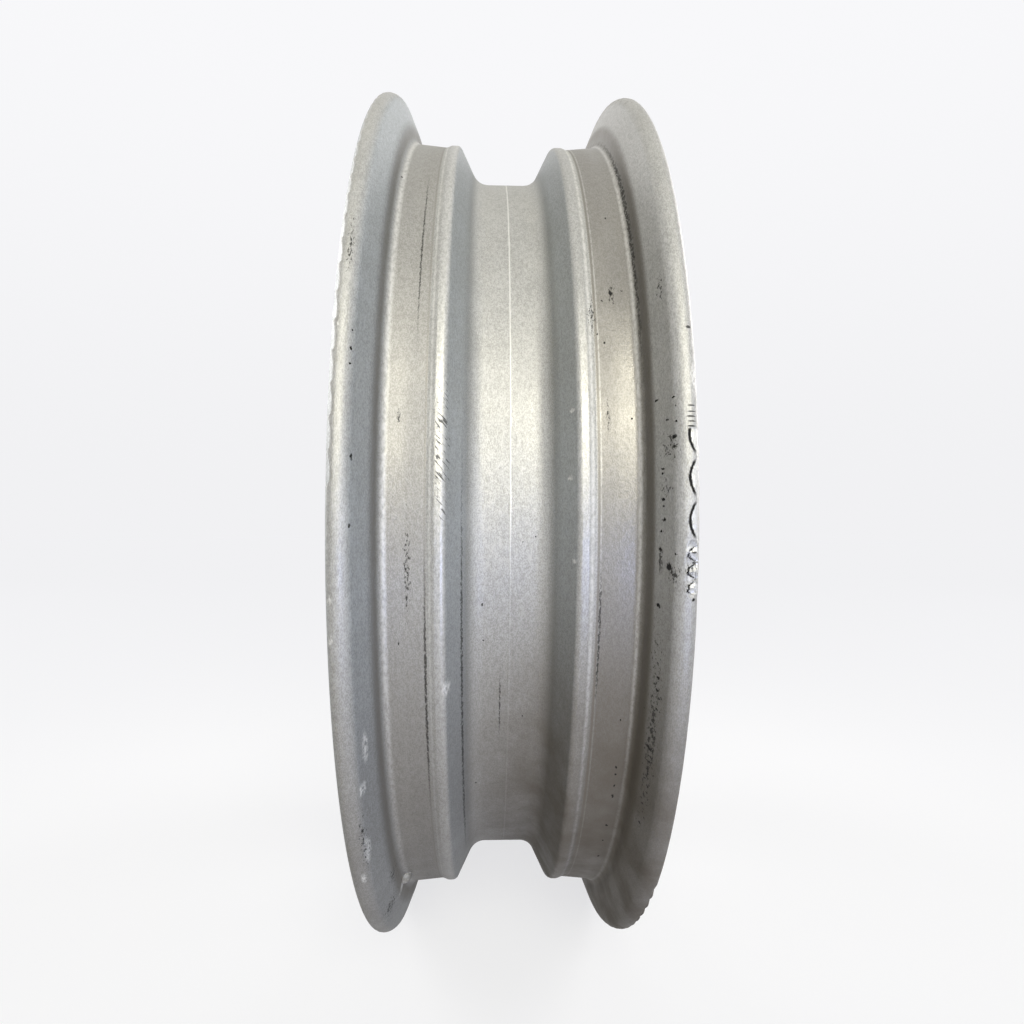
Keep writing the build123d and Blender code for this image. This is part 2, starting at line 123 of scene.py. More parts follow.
CRACKS = [
    (-10.75, -23.0, 36.0, 0.14), (-18.35, -19.0, 18.0, 0.16), (27.9, 34.5, 27.0, 0.18),
    (19.05, -12.3, 10.0, 0.14), (-20.6, 30.5, 16.0, 0.12), (-2.0, -23.5, 5.5, 0.1), (29.7, -3.9, 1.6, 0.14),
]
# Painted shade: the dark in these cuts across the lip stands for the shade in the gouges there.
LIP_CUT_SHADE = [
    (34.5, 8.7, 0.14, 0.7), (34.5, 8.2, 0.12, 0.8), (34.4, 7.8, 0.15, 0.9), (34.5, 7.4, 0.12, 0.8),
    (34.4, 7.0, 0.16, 0.8), (34.9, -3.1, 0.16, 0.5), (34.8, 15.5, 0.3, 0.5),
]
BRIGHT_NICKS = [
    (-35.2, -7.0, 0.8, 0.4), (-35.2, -10.3, 0.9, 0.45), (-34.6, 15.4, 0.5, 0.3), (-13.9, -17.9, 1.8, 0.9),
    (12.7, 3.5, 0.6, 0.4), (-27.9, -53.5, 2.4, 1.0), (13.1, 10.3, 0.5, 0.4), (13.5, -4.7, 0.5, 0.4),
    (-30.3, -21.2, 3.6, 0.4), (-31.1, -25.2, 1.6, 0.5), (-31.5, -33.0, 4.5, 0.6), (-33.0, -37.1, 1.8, 0.6),
    (33.9, -2.9, 0.9, 0.7), (34.2, -5.0, 1.1, 0.5), (35.2, 11.0, 3.0, 0.5),
]

# A fade says between which two values something comes in, and where it has four numbers also the share at
# each of them. The edge of a mark is a fade over parts of its size, where 1 is its outline.
PIT_EDGE = (1.05, 0.55)
CRACK_EDGE = (2.2, 0.8, 0.0, 0.8)
CUT_EDGE = (1.3, 0.7, 0.0, 0.85)
NICK_EDGE = (1.3, 0.5)

# Fades over the noise that breaks the marks up. A streak thins out towards its outline.
STREAK_THINNING = -0.16
STREAK_BREAKS = (0.43, 0.53, 0.0, 0.85)
CRACK_BREAKS = (0.36, 0.5)
NICK_BREAKS = (0.35, 0.6)
NICK_SHARE = 0.7

# Outlines that wander: reach in millimetres, and the noise's scale and detail
WANDER = {"reach": 0.8, "scale": 1.8, "detail": 3.0}

# Kerb scrapes on the lip: bare metal beyond a dark line that swings inwards in arcs from its cusps
KERB_SCRAPES = [
    {"y": 35.45, "swing": 1.5, "pitch": 7.5, "cusp": 1.2, "from": -2.2, "to": 6.7, "half_width": 0.26,
     "ragged": 0.5},
    {"y": 35.6, "swing": 1.9, "pitch": 3.1, "cusp": -2.5, "from": -6.3, "to": -2.6, "half_width": 0.24,
     "ragged": 2.6},
]

# A scrape's end in millimetres, its line's fade in half widths, and fades over its arcs, breaks and Y
SCRAPE_END = 0.6
SCRAPE_LINE = (1.7, 0.6)
SCRAPE_CUSPS = (0.1, 0.5)
SCRAPE_PATCHES = (0.3, 0.55, 0.45, 1.0)
SCRAPE_OUTSIDE = (36.1, 35.6)
SCRAPE_SHARE = 0.45

# Fine slanting scratches on the left hump: their area as a mark, and how the noise of the hairs stretches
CROWN_SCRATCHES = {"area": (-14.7, 6.2, 18.0, 1.8), "area_edge": (1.0, 0.75), "lean": -48.0,
                   "drawn_out": 0.35, "packed": 2.4, "hairs": (0.57, 0.64, 0.0, 0.75)}

# Lines all the way round the tyre side, in millimetres: Y, half width, strength. The peel breaks them up.
# On the lower arc the painted highlight lines keep only a part. The mould's line carries a painted highlight
# on its ridge, which fades over the angle in radians.
# Painted shade: the dark lines stand for the shade in the corners at the heels, the feet of the humps and
# the well.
CORNER_SHADE_LINES = [
    (-28.3, 0.3, 0.6), (28.6, 0.3, 0.6), (-18.3, 0.2, 0.5), (18.5, 0.22, 0.5), (-9.7, 0.8, 0.3),
    (9.7, 0.9, 0.35),
]
# Painted highlights: light lines along the rounded edges and the crowns, in the colour of bare metal.
HIGHLIGHT_LINES = [
    (-17.3, 0.22, 0.35), (19.0, 0.15, 0.25), (-26.9, 0.5, 0.45), (27.1, 0.3, 0.4), (17.2, 0.35, 0.5),
    (-14.9, 0.8, 0.25),
]
LINE_BREAKS = (0.3, 0.6, 0.45, 1.0)
HIGHLIGHT_LOW_SHARE = 0.3
# The mould line's bright colour is a painted highlight on its ridge, strong at the top and fading down the
# lower arc.
MOULD_LINE = {"y": 0.05, "half_width": 0.17, "wander": 0.3, "highlight_fade": (0.05, -0.2, 0.6, 0.05)}

# Road dirt and painted shade on the lower arc, heavier on the right: fades over the angle in radians, over
# Y, and over the mottling
LOW_ARC_DIRT_AND_SHADE = {"start": (0.05, -0.6), "end": (-1.7, -1.2), "left_to_right": (-14.0, 11.0, 0.47, 0.92),
        "mottled": (0.25, 0.7, 0.75, 1.0)}

# Bands where the tyre sits, with how far each is darkened towards the brown-grey, the left and the right one
SEAT_INNER = (18.0, 18.6)
SEAT_OUTER = (29.4, 28.6)
SEAT_DARKENING = (0.3, 0.5)

# The tyre side is where the surface faces outwards, far enough from the axle. Its left half turns into its
# right half in the middle of the well, and the crowns of its humps lie between two radii.
TREAD_FACING = (0.0, 0.08)
TREAD_INSIDE = (112.0, 113.0)
MIDDLE = (-1.0, 1.0)
CROWN_INNER = (125.95, 126.25)
CROWN_OUTER = (127.5, 126.6)

# Noises of the paint: scale, detail, roughness. The scales of mottle and stain are per metre, the others
# per millimetre. Round the wheel the noises are drawn out, and the breaks are packed closer across it.
FLAKE = (4.2, 1.5, 0.5)
PEEL = (1.4, 2.0, 0.6)
BREAKS = (1.6, 3.0, 0.7)
MOTTLE = (90, 3.0, 0.6)
STAIN = (22, 2.0, 0.5)
DRAWN_OUT = 0.6
BREAKS_PACKED = 1.6
NOISE_MIDDLE = 0.5

# Colours of the casting, and how its layers mix
SILVER_LIGHT = rgb(188, 187, 185)
SILVER_DARK = rgb(156, 155, 152)
DIRT_AND_CUT_SHADE = rgb(20, 18, 16)
# This brown-grey colours the random stains and also the painted shade in the corners.
GRIME_AND_CORNER_SHADE = rgb(104, 98, 88)
DIRT_AND_SHADE_BROWN = rgb(88, 80, 68)
# Bare metal of the nicks and scrapes, and also the colour of the painted highlights on the edges and the
# mould line.
BARE_METAL_AND_HIGHLIGHT = rgb(238, 237, 234)
# Painted reflection: a cool tint on the steep walls and faces, standing in for a cool light they mirror.
COOL_REFLECTION_TINT = (0.90, 0.95, 1.0, 1.0)
COOL_FACING = (0.98, 0.4)
COOL_ACROSS = (22.0, 10.0)
STAINED = (0.5, 0.75, 0.0, 0.14)
TONE = {"flake": 0.55, "peel": 0.3, "mottle": 0.15, "range": (0.36, 0.64)}
ROUGHNESS = {"paint": (0.3, 0.7, 0.50, 0.58), "crown": -0.09, "dark": 0.3, "dirt_and_shade": 0.2, "bare": -0.12,
             "seats": (0.06, -0.05)}
METALLIC = {"paint": 0.4, "bare": 0.3, "dirt_and_shade": -0.4}
HEIGHT = {"flake": 0.035, "peel": 0.07, "mottle": 0.05, "mould": 0.05, "bare": -0.10}

# Simple finishes: their grain's detail, its fade, how much darker it gets, its roughness and its bump
GRAIN_DETAIL = 3.0
GRAIN_FADE = (0.3, 0.7)
GRAIN_DARK = 0.75
GRAIN_ROUGHNESS = 0.06
GRAIN_BUMP = 0.4

# Background: a pale wall and floor behind the wheel, a little greyer on the side where the camera stands.
# The fades go over the height of a direction, over its turn towards +X, and over metres along the floor.
BACKDROP_TOP = rgb(248, 248, 250)
BACKDROP_MIDDLE = rgb(241, 241, 243)
BACKDROP_LOW = rgb(234, 234, 236)
BACKDROP_GREY = rgb(188, 188, 190)
BACKDROP_RISE = (0.0, 0.6)
GREY_TURN = (0.0, 0.8)
GREY_FLOOR = (0.2, 0.9)

# Soft light from all round: the dome's colours and the light that the floor gives back
DOME_TOP = rgb(96, 99, 106)
DOME_LOW = rgb(44, 41, 38)
DOME_RISE = (-0.3, 0.6)
FLOOR_BOUNCE = rgb(84, 76, 66)

# Floor: half its side, how far off it fades into the backdrop, and its share of the lamps and shadows
FLOOR_HALF = 8.0
FLOOR_NEAR = 0.2
FLOOR_FAR = 4.0
FLOOR_SHADE = 0.22
FLOOR_DIMMING = -0.62
SHADE_FRONT = (0.25, 0.05)

# Lamps: name, place, side of the square, watts, colour. Key, fill and low light the tread as in the
# photograph, and the other two light the sides of the wheel.
LAMPS = [
    ("key", (1.08, 0.10, 0.50), 0.6, 13.7, (1.0, 0.975, 0.82)),
    ("fill", (0.75, 0.75, 0.0), 0.5, 1.5, (0.80, 0.88, 1.0)),
    ("left_side", (-0.6, -1.1, 0.5), 0.8, 14.0, (1.0, 0.99, 0.97)),
    ("right_side", (-0.6, 1.1, 0.5), 0.8, 14.0, (1.0, 0.99, 0.97)),
    ("low", (0.38, 0.10, -0.09), 0.08, 0.34, (0.50, 0.60, 1.0)),
]


class Graph:
    """A node tree that is filled by short calls."""

    def __init__(self, tree):
        self.tree = tree
        self.nodes = tree.nodes
        self.nodes.clear()

    def node(self, kind, inputs=None, **settings):
        """Adds a node, sets its options and connects or sets its inputs."""
        made = self.nodes.new(kind)
        for name, value in settings.items():
            setattr(made, name, value)
        for name, value in (inputs or {}).items():
            self.feed(made.inputs[name], value)
        return made

    def feed(self, socket, value):
        """Connects a socket or a node's first output, or sets a plain value."""
        if isinstance(value, bpy.types.NodeSocket):
            self.tree.links.new(value, socket)
        elif isinstance(value, bpy.types.Node):
            self.tree.links.new(value.outputs[0], socket)
        else:
            socket.default_value = value

    def math(self, operation, *values, clamp=False):
        inputs = dict(enumerate(values))
        return self.node("ShaderNodeMath", inputs, operation=operation, use_clamp=clamp).outputs[0]

    def vector(self, operation, *values):
        made = self.node("ShaderNodeVectorMath", dict(enumerate(values)), operation=operation)
        return made.outputs["Value" if operation in ("LENGTH", "DOT_PRODUCT") else "Vector"]

    def combine(self, x, y, z=0.0):
        return self.node("ShaderNodeCombineXYZ", {"X": x, "Y": y, "Z": z}).outputs[0]

    def add(self, *values):
        total = values[0]
        for value in values[1:]:
            total = self.math("ADD", total, value)
        return total

    def times(self, *values):
        total = values[0]
        for value in values[1:]:
            total = self.math("MULTIPLY", total, value)
        return total

    def step(self, value, start, end, low=0.0, high=1.0):
        """Goes smoothly from low to high while value goes from start to end."""
        inputs = {"Value": value, "From Min": start, "From Max": end, "To Min": low, "To Max": high}
        return self.node("ShaderNodeMapRange", inputs, interpolation_type="SMOOTHSTEP").outputs[0]

    def colours(self, share, low, high, blend_type="MIX"):
        made = self.node("ShaderNodeMix", data_type="RGBA", blend_type=blend_type)
        self.feed(made.inputs[0], share)
        self.feed(made.inputs[6], low)
        self.feed(made.inputs[7], high)
        return made.outputs[2]

    def noise(self, place, scale, detail=2.0, roughness=0.5):
        inputs = {"Vector": place, "Scale": scale, "Detail": detail, "Roughness": roughness}
        return self.node("ShaderNodeTexNoise", inputs).outputs[0]

    def bump(self, height, distance, strength=1.0):
        inputs = {"Height": height, "Distance": distance, "Strength": strength}
        return self.node("ShaderNodeBump", inputs).outputs[0]

    def spread(self, place, marks):
        """Distance from the nearest mark, where 1 is the mark's edge. The place is in millimetres."""
        nearest = None
        for y, angle, half_length, half_width in marks:
            stretch = (1 / half_length, 1 / half_width, 0)
            shift = (-around(angle) / half_length, -y / half_width, 0)
            distance = self.vector("LENGTH", self.vector("MULTIPLY_ADD", place, stretch, shift))
            nearest = distance if nearest is None else self.math("MINIMUM", nearest, distance)
        return nearest


def around(angle):
    """Millimetres round the wheel, at the bead seats, for an angle in degrees."""
    return math.radians(angle) * SEAT_R / MM


def material(name, build):
    """Makes a material whose nodes are laid out by build(graph, shader)."""
    made = bpy.data.materials.new(name)
    made.use_nodes = True
    graph = Graph(made.node_tree)
    shader = graph.node("ShaderNodeBsdfPrincipled")
    graph.node("ShaderNodeOutputMaterial", {"Surface": shader.outputs[0]})
    build(graph, shader)
    return made


def casting_places(graph):
    """Where a point of the casting lies: lengths in millimetres, the angle in radians."""
    at = SimpleNamespace()
    at.place = graph.node("ShaderNodeTexCoord").outputs["Object"]
    normal = graph.node("ShaderNodeTexCoord").outputs["Normal"]
    split = graph.node("ShaderNodeSeparateXYZ", {"Vector": at.place})
    at.across = graph.times(split.outputs["Y"], 1 / MM)
    at.angle = graph.math("ARCTAN2", split.outputs["Z"], split.outputs["X"])
    at.along = graph.times(at.angle, SEAT_R / MM)
    flat = graph.vector("MULTIPLY", at.place, (1.0, 0.0, 1.0))
    at.radius = graph.times(graph.vector("LENGTH", flat), 1 / MM)
    at.facing = graph.vector("DOT_PRODUCT", normal, graph.vector("NORMALIZE", flat))
    at.tread = graph.times(graph.step(at.facing, *TREAD_FACING), graph.step(at.radius, *TREAD_INSIDE))
    at.right = graph.step(at.across, *MIDDLE)
    at.spot = graph.combine(at.along, at.across)
    at.unrolled = graph.combine(graph.times(at.along, DRAWN_OUT), at.across, at.radius)

    inputs = {"Vector": at.unrolled, "Scale": WANDER["scale"], "Detail": WANDER["detail"]}
    wander = graph.node("ShaderNodeTexNoise", inputs).outputs["Color"]
    reach = WANDER["reach"]
    shift = graph.vector("MULTIPLY_ADD", wander, (reach, reach, 0.0), (-reach / 2, -reach / 2, 0.0))
    at.wobbly = graph.vector("ADD", at.spot, shift)
    return at


def paint_grain(graph, at):
    """The noises of the paint, and the one that breaks its marks up."""
    streaky = graph.combine(graph.times(at.along, DRAWN_OUT), graph.times(at.across, BREAKS_PACKED))
    return SimpleNamespace(
        flake=graph.noise(at.unrolled, *FLAKE),
        peel=graph.noise(at.unrolled, *PEEL),
        mottle=graph.noise(at.place, *MOTTLE),
        stain=graph.noise(at.place, *STAIN),
        breaks=graph.noise(streaky, *BREAKS),
    )


def by_side(graph, at, values):
    """The first value on the left half of the tread and the second on the right half."""
    return graph.step(at.right, 0.0, 1.0, *values)


def low_arc_dirt_and_shade(graph, at, grain):
    """Share of the road dirt and painted shade, which covers the lower arc and is heavier on the right."""
    return graph.times(graph.step(at.angle, *LOW_ARC_DIRT_AND_SHADE["start"]), graph.step(at.angle, *LOW_ARC_DIRT_AND_SHADE["end"]), at.tread,
                       graph.step(at.across, *LOW_ARC_DIRT_AND_SHADE["left_to_right"]),
                       graph.step(grain.mottle, *LOW_ARC_DIRT_AND_SHADE["mottled"]))


def bead_seats(graph, at):
    """1 on the two bands where the tyre sits."""
    side = graph.math("ABSOLUTE", at.across)
    return graph.times(graph.step(side, *SEAT_INNER), graph.step(side, *SEAT_OUTER), at.tread)


def kerb_scrape(graph, at, grain, row):
    """The dark line of one scrape on the lip, and the bare metal beyond it."""
    turn = graph.times(graph.add(at.along, -around(row["cusp"])), math.pi / row["pitch"])
    arcs = graph.math("ABSOLUTE", graph.math("SINE", turn))
    beyond = graph.add(at.across, -row["y"], graph.times(arcs, row["swing"]),
                       graph.times(graph.add(grain.breaks, -NOISE_MIDDLE), row["ragged"]))
    first = around(row["from"])
    last = around(row["to"])
    reach = graph.times(graph.step(at.along, first - SCRAPE_END, first),
                        graph.step(at.along, last + SCRAPE_END, last), at.tread)
    outside, inside = (part * row["half_width"] for part in SCRAPE_LINE)
    line = graph.step(graph.math("ABSOLUTE", beyond), outside, inside)
    line = graph.times(line, graph.step(arcs, *SCRAPE_CUSPS), reach)
    bare = graph.times(graph.step(beyond, 0.0, row["half_width"]), reach,
                       graph.step(grain.breaks, *SCRAPE_PATCHES), graph.step(at.across, *SCRAPE_OUTSIDE))
    return line, bare


def crown_scratches(graph, at):
    """Fine slanting scratches on the crown of the left hump."""
    lean = math.radians(CROWN_SCRATCHES["lean"])
    over = graph.add(graph.times(at.along, math.sin(lean)), graph.times(at.across, math.cos(lean)))
    down = graph.add(graph.times(at.along, math.cos(lean)), graph.times(at.across, -math.sin(lean)))
    slanting = graph.combine(graph.times(over, CROWN_SCRATCHES["drawn_out"]),
                             graph.times(down, CROWN_SCRATCHES["packed"]))
    hairs = graph.noise(slanting, 1.0)
    inside = graph.step(graph.spread(at.spot, [CROWN_SCRATCHES["area"]]), *CROWN_SCRATCHES["area_edge"])
    return graph.times(graph.step(hairs, *CROWN_SCRATCHES["hairs"]), inside)


def dark_marks_and_cut_shade(graph, at, grain):
    """Shares of the dark marks, the bright nicks and the bare metal. The dark in the lip's cuts is painted
    shade in the gouges.
    """
    pits = graph.step(graph.spread(at.wobbly, PITS), *PIT_EDGE)
    streak_depth = graph.add(graph.times(graph.spread(at.wobbly, STREAKS), STREAK_THINNING), grain.breaks)
    streaks = graph.step(streak_depth, *STREAK_BREAKS)
    cracks = graph.times(graph.step(graph.spread(at.wobbly, CRACKS), *CRACK_EDGE),
                         graph.step(grain.breaks, *CRACK_BREAKS))
    cut_shade = graph.step(graph.spread(at.spot, LIP_CUT_SHADE), *CUT_EDGE)
    nicks = graph.times(graph.step(graph.spread(at.wobbly, BRIGHT_NICKS), *NICK_EDGE), at.tread,
                        graph.step(grain.breaks, *NICK_BREAKS))
    scrapes = bare = 0.0
    for row in KERB_SCRAPES:
        line, metal = kerb_scrape(graph, at, grain, row)
        scrapes = graph.add(scrapes, line)
        bare = graph.add(bare, metal)
    dark = 0.0
    for mark in (pits, streaks, cracks, cut_shade, scrapes, crown_scratches(graph, at)):
        dark = graph.math("MAXIMUM", dark, mark)
    return graph.times(dark, at.tread), nicks, bare


def lines_round(graph, at, grain, rows):
    """Lines that run round the tyre side, a little broken."""
    total = 0.0
    for y, half_width, strength in rows:
        gap = graph.math("ABSOLUTE", graph.add(at.across, -y))
        total = graph.add(total, graph.step(gap, 2 * half_width, 0.0, high=strength))
    return graph.times(total, at.tread, graph.step(grain.peel, *LINE_BREAKS))


def mould_line(graph, at, grain):
    """The fine line in the middle of the well where the two halves of the mould met."""
    stray = graph.times(graph.add(grain.mottle, -NOISE_MIDDLE), MOULD_LINE["wander"])
    gap = graph.math("ABSOLUTE", graph.add(at.across, -MOULD_LINE["y"], stray))
    return graph.times(graph.step(gap, 2 * MOULD_LINE["half_width"], 0.0), at.tread)


def silver_paint(graph, shader):
    """Silver paint over sand-cast aluminium: fine flake, orange peel, road dirt, pits and scratches, with
    painted shade and painted highlights on the tread.
    """
    at = casting_places(graph)
    grain = paint_grain(graph, at)
    dirt_and_shade = low_arc_dirt_and_shade(graph, at, grain)
    seats = bead_seats(graph, at)
    mould = mould_line(graph, at, grain)
    dark, nicks, bare = dark_marks_and_cut_shade(graph, at, grain)

    tone = graph.add(graph.times(grain.flake, TONE["flake"]), graph.times(grain.peel, TONE["peel"]),
                     graph.times(grain.mottle, TONE["mottle"]))
    colour = graph.colours(graph.step(tone, *TONE["range"]), SILVER_DARK, SILVER_LIGHT)
    # Painted reflection: a cool tint on the surfaces that face sideways
    cool_reflection = graph.times(graph.step(at.facing, *COOL_FACING), graph.step(at.across, *COOL_ACROSS), at.tread)
    colour = graph.colours(cool_reflection, colour, graph.colours(1.0, colour, COOL_REFLECTION_TINT, blend_type="MULTIPLY"))

    # Painted highlights along the rounded edges, kept only in part on the lower arc
    painted_highlights = graph.times(lines_round(graph, at, grain, HIGHLIGHT_LINES),
                         graph.step(at.angle, *reversed(LOW_ARC_DIRT_AND_SHADE["start"]), low=HIGHLIGHT_LOW_SHARE))
    bright = graph.math("MAXIMUM", graph.times(nicks, NICK_SHARE), graph.times(bare, SCRAPE_SHARE))
    layers = [
        (graph.step(grain.stain, *STAINED), GRIME_AND_CORNER_SHADE),
        # Road dirt and painted shade: darker on the lower arc and on the right side
        (dirt_and_shade, DIRT_AND_SHADE_BROWN),
        # The bands where the tyre sits, darkened, the right one more
        (graph.times(seats, by_side(graph, at, SEAT_DARKENING)), DIRT_AND_SHADE_BROWN),
        # Painted shade in the corners of the tread
        (lines_round(graph, at, grain, CORNER_SHADE_LINES), GRIME_AND_CORNER_SHADE),
        # Painted highlights along the rounded edges
        (painted_highlights, BARE_METAL_AND_HIGHLIGHT),
        # Painted highlight on the mould line's ridge, fading down the lower arc
        (graph.times(mould, graph.step(at.angle, *MOULD_LINE["highlight_fade"])), BARE_METAL_AND_HIGHLIGHT),
        (bright, BARE_METAL_AND_HIGHLIGHT),
        (dark, DIRT_AND_CUT_SHADE),
    ]
    for share, layer in layers:
        colour = graph.colours(share, colour, layer)
    graph.feed(shader.inputs["Base Color"], colour)

    crown = graph.times(graph.step(at.radius, *CROWN_INNER), graph.step(at.radius, *CROWN_OUTER), at.tread)
    rough = graph.add(graph.step(grain.mottle, *ROUGHNESS["paint"]), graph.times(crown, ROUGHNESS["crown"]),
                      graph.times(dark, ROUGHNESS["dark"]), graph.times(dirt_and_shade, ROUGHNESS["dirt_and_shade"]),
                      graph.times(seats, by_side(graph, at, ROUGHNESS["seats"])),
                      graph.times(bare, ROUGHNESS["bare"]))
    graph.feed(shader.inputs["Roughness"], rough)
    metallic = graph.add(METALLIC["paint"], graph.times(bare, METALLIC["bare"]),
                         graph.times(dirt_and_shade, METALLIC["dirt_and_shade"]))
    graph.feed(shader.inputs["Metallic"], metallic)

    # The marks stay out of the height, because a bump works out what feeds it three times over
    height = graph.add(graph.times(grain.flake, HEIGHT["flake"]), graph.times(grain.peel, HEIGHT["peel"]),
                       graph.times(grain.mottle, HEIGHT["mottle"]), graph.times(mould, HEIGHT["mould"]),
                       graph.times(bare, HEIGHT["bare"]))
    graph.feed(shader.inputs["Normal"], graph.bump(height, MM))


def plain(colour, roughness, metallic, scale, depth):
    """A simple moulded or machined finish with grain in its tone and surface."""
    def build(graph, shader):
        place = graph.node("ShaderNodeTexCoord").outputs["Object"]
        grain = graph.noise(place, scale, detail=GRAIN_DETAIL)
        dark = tuple(level * GRAIN_DARK for level in colour[:3]) + (1.0,)
        graph.feed(shader.inputs["Base Color"], graph.colours(grain, dark, colour))
        shader.inputs["Metallic"].default_value = metallic
        rough = graph.step(grain, *GRAIN_FADE, roughness - GRAIN_ROUGHNESS, roughness + GRAIN_ROUGHNESS)
        graph.feed(shader.inputs["Roughness"], rough)
        graph.feed(shader.inputs["Normal"], graph.bump(grain, depth, GRAIN_BUMP))
    return build


# Finish of each piece: material name, then colour, roughness, metallic, grain scale and grain depth
FINISHES = {
    "brake_liner": ("cast_iron", plain(rgb(96, 92, 88), 0.48, 0.8, 900, 0.0001)),
    "splined_bush": ("bush_steel", plain(rgb(150, 148, 145), 0.35, 0.95, 700, 0.00005)),
    "valve_body": ("valve_rubber", plain(rgb(34, 34, 35), 0.62, 0.0, 1200, 0.00008)),
    "valve_stem": ("valve_brass", plain(rgb(196, 164, 98), 0.32, 0.95, 900, 0.00004)),
    "valve_core": ("core_brass", plain(rgb(188, 158, 96), 0.36, 0.95, 900, 0.00004)),
    "valve_cap": ("cap_plastic", plain(rgb(26, 26, 27), 0.5, 0.0, 1500, 0.00005)),
}


def dress():
    """Gives every carried-over piece its finish."""
    for node, (name, build) in FINISHES.items():
        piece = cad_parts[node]
        piece.data.materials.clear()
        piece.data.materials.append(material(name, build))


def rounded_path(corners):
    """Points along an open line with rounded corners, and the normals on its left, as two arrays."""
    points = []
    normals = []
    for before, corner, after in zip(corners, corners[1:], corners[2:]):
        place = np.array(corner[:2])
        into = place - before[:2]
        out = after[:2] - place
        into = into / np.linalg.norm(into)
        out = out / np.linalg.norm(out)
        turn = math.atan2(into[0] * out[1] - into[1] * out[0], into @ out)
        side = math.copysign(1, turn)
        start_normal = np.array((-into[1], into[0]))
        start = place - into * corner[2] * math.tan(abs(turn) / 2)
        for angle in np.linspace(0, turn, ARC_STEPS):
            cos, sin = math.cos(angle), math.sin(angle)
            normal = np.array((cos * start_normal[0] - sin * start_normal[1],
                               sin * start_normal[0] + cos * start_normal[1]))
            points.append(start + side * corner[2] * (start_normal - normal))
            normals.append(normal)
    return np.array(points), np.array(normals)


def tread_normals(places):
    """Normals of the drawn section at places in metres, and how far each place is from it."""
    mirrored = [(-y, r, rounding) for y, r, rounding in reversed(TREAD_HALF)]
    points, normals = rounded_path(np.array(mirrored + TREAD_HALF) * MM)
    radius = np.hypot(places[:, 0], places[:, 2])
    section = np.stack((places[:, 1], radius), axis=1)
    nearest = np.full(len(places), np.inf)
    found = np.zeros((len(places), 2))
    for start, end, first, last in zip(points, points[1:], normals, normals[1:]):
        length = end - start
        squared = max(length @ length, SHORTEST_SQUARED)
        share = np.clip((section - start) @ length / squared, 0, 1)[:, None]
        distance = np.linalg.norm(section - start - share * length, axis=1)
        closer = distance < nearest
        nearest[closer] = distance[closer]
        found[closer] = (first + share * (last - first))[closer]
    outward = places[:, [0, 2]] / radius[:, None]
    full = np.stack((outward[:, 0] * found[:, 1], found[:, 0], outward[:, 1] * found[:, 1]), axis=1)
    return full / np.linalg.norm(full, axis=1)[:, None], nearest


def painted_casting():
    """The casting again, shaded by its drawn section where the tyre sits."""
    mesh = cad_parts["wheel_casting"].data.copy()
    mesh.name = "painted_casting"
    corners = len(mesh.loops)
    places = np.empty(len(mesh.vertices) * 3)
    mesh.vertices.foreach_get("co", places)
    places = places.reshape(-1, 3)
    used = np.empty(corners, dtype=np.int64)
    mesh.loops.foreach_get("vertex_index", used)
    shading = np.empty(corners * 3)
    mesh.corner_normals.foreach_get("vector", shading)
    shading = shading.reshape(-1, 3)

    normals, distance = tread_normals(places)
    same_side = np.sum(shading * normals[used], axis=1) > SAME_SIDE
    on_tread = (distance[used] < TREAD_NEAR) & same_side
    shading[on_tread] = normals[used][on_tread]
    mesh.shade_smooth()
    mesh.normals_split_custom_set(shading.tolist())

    mesh.materials.clear()
    mesh.materials.append(material("silver_paint", silver_paint))
    piece = bpy.data.objects.new("painted_casting", mesh)
    bpy.context.scene.collection.objects.link(piece)
    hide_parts("wheel_casting")
    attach(piece, "root")


def make_camera():
    """The photograph's camera: close to the tread, level with the axle."""
    data = bpy.data.cameras.new("camera")
    data.sensor_width = SENSOR_WIDTH_MM
    data.lens = FOCAL_PX / FRAME_PX * SENSOR_WIDTH_MM
    data.clip_start = CLIP_NEAR
    data.clip_end = CLIP_FAR
    camera = bpy.data.objects.new("camera", data)
    ahead = Vector((-math.cos(CAMERA_PAN), math.sin(CAMERA_PAN), math.tan(CAMERA_TILT)))
    turn = ahead.to_track_quat("-Z", "Y")
    camera.rotation_mode = "QUATERNION"
    camera.rotation_quaternion = turn @ Matrix.Rotation(CAMERA_ROLL, 3, "Z").to_quaternion()
    camera.location = CAMERA_PLACE
    bpy.context.scene.collection.objects.link(camera)
    bpy.context.scene.camera = camera


def background_rays(graph):
    """1 for the rays that see the background, 0 for those that carry its light."""
    rays = graph.node("ShaderNodeLightPath")
    seen = graph.add(rays.outputs["Is Camera Ray"], rays.outputs["Is Glossy Ray"])
    return graph.math("ADD", seen, rays.outputs["Is Transmission Ray"], clamp=True)


def make_world():
    """Pale backdrop for the camera and for reflections, and a soft dome for the light."""
    world = bpy.data.worlds.new("studio")
    bpy.context.scene.world = world
    world.use_nodes = True
    graph = Graph(world.node_tree)
    direction = graph.node("ShaderNodeTexCoord").outputs["Generated"]
    split = graph.node("ShaderNodeSeparateXYZ", {"Vector": direction})
    height = split.outputs["Z"]
    shown = graph.colours(graph.step(height, *BACKDROP_RISE), BACKDROP_MIDDLE, BACKDROP_TOP)
    shown = graph.colours(graph.step(split.outputs["X"], *GREY_TURN), shown, BACKDROP_GREY)
    dome = graph.colours(graph.step(height, *DOME_RISE), DOME_LOW, DOME_TOP)
    colour = graph.colours(background_rays(graph), dome, shown)
    background = graph.node("ShaderNodeBackground", {"Color": colour, "Strength": 1.0})
    graph.node("ShaderNodeOutputWorld", {"Surface": background.outputs[0]})


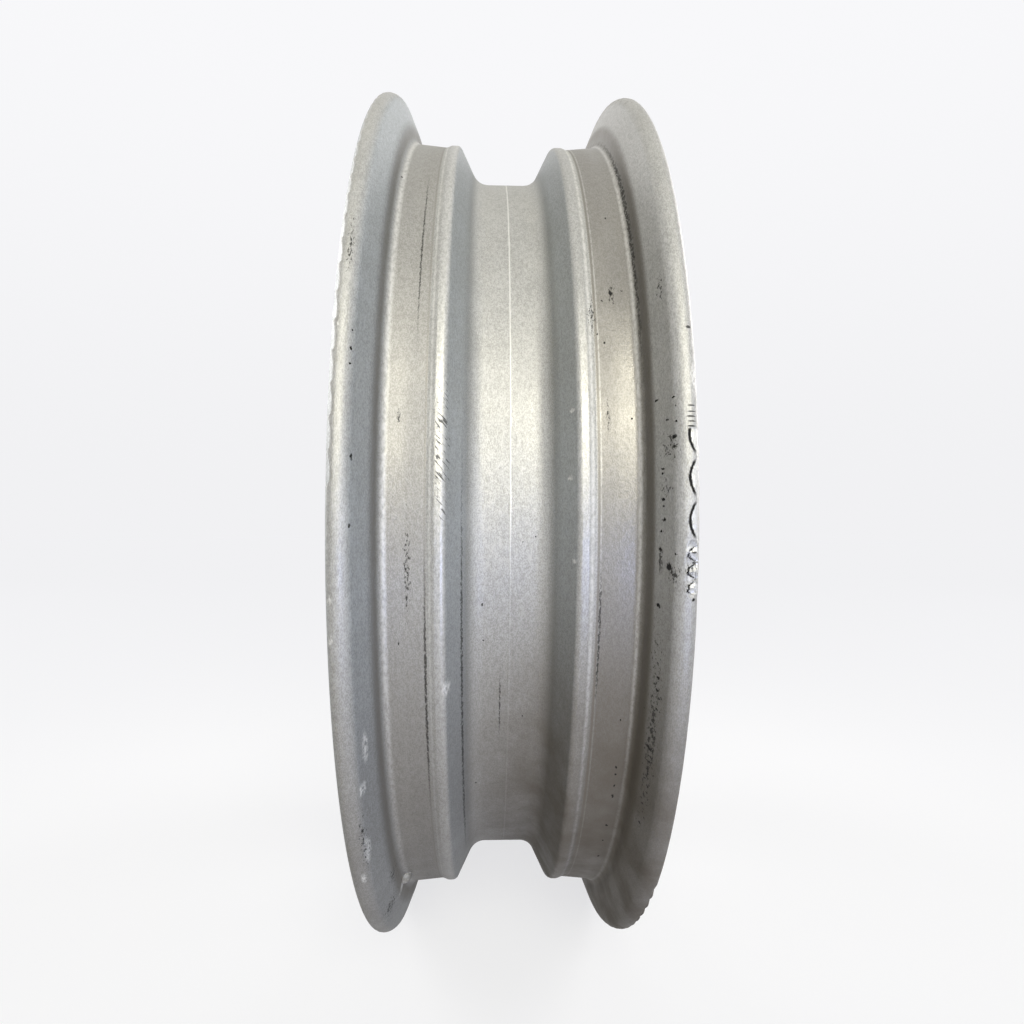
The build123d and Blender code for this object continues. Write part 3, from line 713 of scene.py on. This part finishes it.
def area_light(name, place, size, watts, colour):
    """A square soft light that faces the middle of the wheel."""
    data = bpy.data.lights.new(name, "AREA")
    data.size = size
    data.energy = watts
    data.color = colour
    lamp = bpy.data.objects.new(name, data)
    lamp.location = place
    lamp.rotation_mode = "QUATERNION"
    lamp.rotation_quaternion = (-Vector(place)).to_track_quat("-Z", "Y")
    lamp.visible_camera = False
    bpy.context.scene.collection.objects.link(lamp)


def pale_floor(graph, shader):
    """Shows the backdrop's colours, and near the wheel a share of the lamps and shadows too."""
    place = graph.node("ShaderNodeTexCoord").outputs["Object"]
    ahead = graph.node("ShaderNodeSeparateXYZ", {"Vector": place}).outputs["X"]
    away = graph.vector("LENGTH", graph.vector("MULTIPLY", place, (1.0, 1.0, 0.0)))
    near = graph.step(graph.math("DIVIDE", 1.0, away), 1 / FLOOR_FAR, 1 / FLOOR_NEAR)
    grey = graph.times(graph.step(graph.math("DIVIDE", ahead, away), *GREY_TURN),
                       graph.step(away, *GREY_FLOOR))
    shown = graph.colours(near, BACKDROP_MIDDLE, BACKDROP_LOW)
    shown = graph.colours(grey, shown, BACKDROP_GREY)
    seen = background_rays(graph)
    shade = graph.times(near, FLOOR_SHADE, graph.step(ahead, *SHADE_FRONT))
    lit = graph.combine(shade, shade, shade)
    graph.feed(shader.inputs["Base Color"], graph.colours(seen, FLOOR_BOUNCE, lit))
    graph.feed(shader.inputs["Emission Color"], shown)
    glow = graph.add(1.0, graph.times(shade, FLOOR_DIMMING))
    graph.feed(shader.inputs["Emission Strength"], graph.times(seen, glow))
    shader.inputs["Roughness"].default_value = 1.0
    shader.inputs["Specular IOR Level"].default_value = 0.0


def make_floor():
    """A plain pale floor under the wheel that runs into the backdrop and keeps the wheel's shadow."""
    mesh = bpy.data.meshes.new("floor")
    turns = [(-1, -1), (1, -1), (1, 1), (-1, 1)]
    corners = [(x * FLOOR_HALF, y * FLOOR_HALF, FLOOR_Z) for x, y in turns]
    mesh.from_pydata(corners, [], [(0, 1, 2, 3)])
    mesh.materials.append(material("pale_floor", pale_floor))
    floor = bpy.data.objects.new("floor", mesh)
    bpy.context.scene.collection.objects.link(floor)


bpy.context.scene.view_settings.view_transform = "Standard"
make_camera()
make_world()
for lamp_row in LAMPS:
    area_light(*lamp_row)
make_floor()
painted_casting()
dress()
